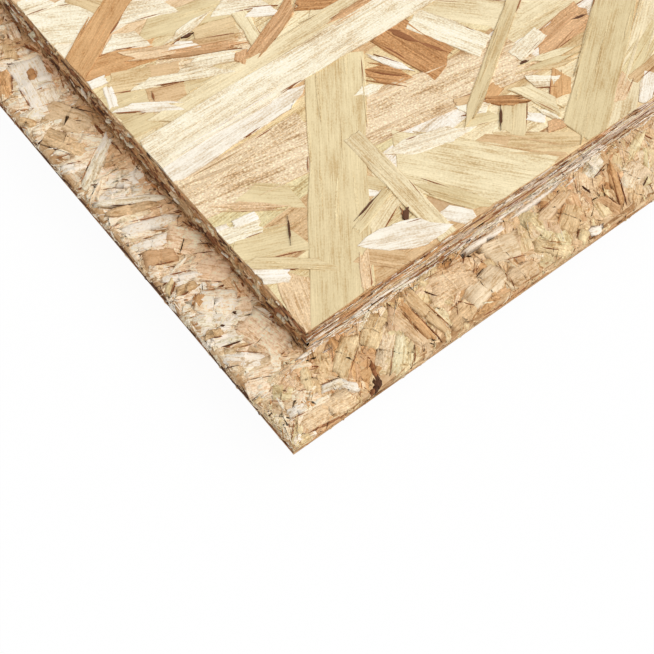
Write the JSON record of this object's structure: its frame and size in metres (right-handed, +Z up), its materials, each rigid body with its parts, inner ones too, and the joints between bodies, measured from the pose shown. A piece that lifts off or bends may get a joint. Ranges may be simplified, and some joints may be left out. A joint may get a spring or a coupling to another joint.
{
  "type": "tongue and groove osb panel",
  "caption": "Flat oriented strand board panel for floors and roofs, with a tapered tongue milled along two adjoining edges and a matching groove along the other two.",
  "frame": {"origin": "centre of the panel's overall outline, tongues included, at the level of its underside", "axes": "+X along the length, towards the grooved short edge; +Y across the width, towards the grooved long edge; +Z up through the thickness"},
  "size_m": [2.411, 0.611, 0.018],
  "materials": {
    "board": "pressed pale wood strands, matt, with darker milled edges"
  },
  "bodies": {
    "root": {"board": "board"}
  },
  "joints": []
}
